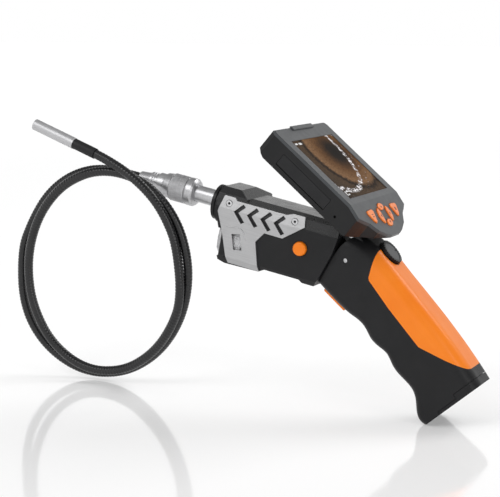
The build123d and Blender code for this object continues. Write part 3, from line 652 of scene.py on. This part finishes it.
def turned_piece(name, matrix, profile, material, knurl=None, sides=96):
    """Closed ring turned about the X of `matrix` from (x, radius) corners in mm, with an optional
    diamond knurl (from x, to x, diamonds round, depth) on its outer face."""
    rings = []
    for (x0, r0), (x1, r1) in zip(profile, profile[1:] + profile[:1]):
        steps = 1
        within = knurl and min(x0, x1) >= knurl[0] - 0.01 and max(x0, x1) <= knurl[1] + 0.01
        if within and abs(x1 - x0) > 1:
            pitch = 2 * math.pi * r0 / knurl[2]
            steps = max(1, round(abs(x1 - x0) / pitch * CUTS_PER_DIAMOND))
        for i in range(steps):
            x = x0 + (x1 - x0) * i / steps
            r = r0 + (r1 - r0) * i / steps
            rings.append((x, r, steps > 1 and i > 0))
    round_count = knurl[2] * CUTS_PER_DIAMOND if knurl else sides
    vertices = []
    for x, r, cut in rings:
        for k in range(round_count):
            reach = r
            if cut:
                turn = k / CUTS_PER_DIAMOND
                row = (x - knurl[0]) * knurl[2] / (2 * math.pi * r)
                peak = min(triangle_wave(turn + row + 0.5), triangle_wave(turn - row + 0.5))
                reach = r - knurl[3] * (1 - peak)
            angle = 2 * math.pi * k / round_count
            point = Vector((x, reach * math.cos(angle), reach * math.sin(angle)))
            vertices.append(matrix @ (point * MM))
    faces = []
    for i in range(len(rings)):
        j = (i + 1) % len(rings)
        for k in range(round_count):
            n = (k + 1) % round_count
            here = i * round_count
            after = j * round_count
            faces.append((here + k, after + k, after + n, here + n))
    return link_mesh(name, vertices, faces, material, smooth=False)


NUT_PROFILE = [
    (-38.5, 7.4), (-38.5, 8.4), (-38.2, 8.7), (-33.4, 9.3), (-33.2, 8.9), (-32.8, 8.9),
    (-32.6, 9.9), (-20.7, 9.9), (-20.5, 9.2), (-20.1, 9.2), (-19.9, 9.8), (-19.6, 10.0),
    (-15.6, 10.0), (-14.4, 9.1), (-13.6, 8.2), (-13.6, 6.1), (-21.9, 6.1), (-21.9, 7.4),
]
NUT_KNURL = (-32.6, -20.7, 54, 0.32)
nut = turned_piece("coupling_nut_turned", BODY, NUT_PROFILE, turned_metal, NUT_KNURL)
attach(nut, "union_nut")
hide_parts("coupling_nut")

FERRULE_PROFILE = [
    (-60.3, 3.4), (-60.3, 4.4), (-60.0, 4.7), (-51.2, 5.5), (-51.0, 6.3), (-50.8, 6.5),
    (-48.9, 6.5), (-48.7, 6.1), (-48.3, 6.1), (-48.1, 6.5), (-47.2, 6.5), (-46.9, 6.1),
    (-44.6, 6.1), (-44.3, 7.3), (-44.1, 7.5), (-39.2, 7.5), (-39.0, 7.3), (-39.0, 5.9),
    (-24.1, 5.9), (-24.1, 3.0), (-45.0, 3.0), (-45.0, 3.4),
]
collar = turned_piece("ferrule_turned", BODY, FERRULE_PROFILE, turned_metal)
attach(collar, "probe")
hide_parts("ferrule")

WHEEL_UPRIGHT = Matrix.Rotation(math.radians(-90), 4, "Y")
WHEEL_MATRIX = BODY @ Matrix.Translation((WHEEL_AT.x, 0, 0)) @ WHEEL_UPRIGHT
WHEEL_PROFILE = [
    (-33.5, 4.05), (-33.5, 7.0), (-33.1, 7.5), (-27.0, 7.5), (-27.0, 18.6), (-33.5, 18.6),
    (-33.5, 20.2), (-33.1, 20.6), (-31.4, 21.2), (-31.2, 21.6), (-24.2, 22.0), (-17.2, 21.6),
    (-17.0, 21.2), (-15.2, 20.6), (-14.8, 20.2), (-14.8, 18.6), (-23.0, 18.6), (-23.0, 7.5),
    (-14.2, 7.5), (-14.2, 4.05),
]
WHEEL_KNURL = (-31.2, -17.2, 90, 0.5)
wheel = turned_piece("thumbwheel_knurled", WHEEL_MATRIX, WHEEL_PROFILE, knurled_metal, WHEEL_KNURL)
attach(wheel, "thumbwheel")
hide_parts("drive_wheel")


# ---------------------------------------------------------------- small trim

RIDGE_RING_STEP = 0.8 * MM


def ridge(name, matrix, points, radius, material, body):
    """Half-sunk round rib through points of a part's own frame, in mm."""
    line = smooth_line([matrix @ (Vector(p) * MM) for p in points])
    piece, _, _ = ribbed_tube(name, line, radius * MM, RIDGE_RING_STEP, 0.0, material, 10)
    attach(piece, body)


# The rib over the top of each side plate's window, in mm of the body's frame, for the +Y side.
WINDOW_RIB = [
    (24.2, 23.75, -11.4), (29.5, 23.75, -10.6), (34.0, 23.75, -10.2), (37.6, 23.75, -12.6),
    (39.4, 23.7, -17.6),
]
for side, name in ((-1, "window_rib_left"), (1, "window_rib_right")):
    arc = [(x, side * y, z) for x, y, z in WINDOW_RIB]
    ridge(name, BODY, arc, 0.55, plate_metal, "tool_body")


def flat_marks(name, matrix, outlines, height, thick, material, body):
    """Thin raised marks: each outline is a list of (x, y) in mm on the plane z = height."""
    vertices = []
    faces = []
    for outline in outlines:
        start = len(vertices)
        count = len(outline)
        for z in (height, height + thick):
            vertices += [matrix @ (Vector((x, y, z)) * MM) for x, y in outline]
        faces.append(tuple(start + i for i in reversed(range(count))))
        faces.append(tuple(start + count + i for i in range(count)))
        for i in range(count):
            n = (i + 1) % count
            faces.append((start + i, start + n, start + count + n, start + count + i))
    piece = link_mesh(name, vertices, faces, material, smooth=False)
    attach(piece, body)


KEY_AREA = SCREEN @ Matrix.Translation(Vector((-7.5, 0, 25.3)) * MM)
KEY_MATRIX = axes_at(KEY_AREA.translation, Vector((0, 1, 0)).cross(KEY_OUT), KEY_OUT)
MARK_HEIGHT = 0.86
MARK_THICK = 0.08
mark_ink = moulded("key_mark", (0.16, 0.03, 0.01), (0.2, 0.04, 0.012), 0.4)
KEY_MARKS = {
    "key_up": [[(7.9, -1.2), (7.9, 1.2), (6.1, 0.0)]],
    "key_down": [[(18.5, -1.2), (20.3, 0.0), (18.5, 1.2)]],
    "key_left": [[(12.2, -7.5), (13.4, -9.2), (14.6, -7.5)]],
    "key_right": [[(12.2, 7.5), (14.6, 7.5), (13.4, 9.2)]],
    "key_menu": [[(10.4, -22.8), (11.0, -22.8), (11.0, -20.2), (10.4, -20.2)],
                 [(12.2, -22.8), (12.8, -22.8), (12.8, -20.2), (12.2, -20.2)]],
    "key_enter": [[(10.4, 20.4), (12.8, 20.4), (12.8, 22.8), (10.4, 22.8)]],
}
for key_name, outlines in KEY_MARKS.items():
    flat_marks(key_name + "_mark", KEY_MATRIX, outlines, MARK_HEIGHT, MARK_THICK, mark_ink,
               key_name)


def painted_recess_shade(name, matrix, radius, body):
    """Painted shade of a small hole or screw socket: a thin near-black disc facing along the X of
    `matrix`, laid where its floor would lie in shade.
    """
    profile = [(-0.02, radius), (0.05, radius), (0.05, 0.02), (-0.02, 0.02)]
    disc = turned_piece(name, matrix, profile, painted_hole_shade, sides=24)
    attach(disc, body)


def facing_side(matrix, x, y, z):
    """Place at (x, y, z) mm of a part's own frame, with X turned to face out of its side."""
    turn = math.copysign(math.radians(90), y)
    return matrix @ Matrix.Translation(Vector((x, y, z)) * MM) @ Matrix.Rotation(turn, 4, "Z")


RESET_HOLE_R = 0.9
SOCKET_R = 0.85
SOCKET_Y = 22.32
SOCKET_Z = 4.3
# Painted shade: near-black discs in the reset hole and at the floor of each side plate screw
# socket stand in for the shade there.
painted_recess_shade("reset_hole_shade", facing_side(SCREEN, -10.5, -44.0, 11.8), RESET_HOLE_R, "screen_unit")
for side, side_name in ((-1, "left"), (1, "right")):
    for x, screw_name in ((22.3, "front"), (72.6, "rear")):
        name = "plate_screw_socket_" + side_name + "_" + screw_name
        place = facing_side(BODY, x, side * SOCKET_Y, SOCKET_Z)
        painted_recess_shade(name, place, SOCKET_R, "tool_body")
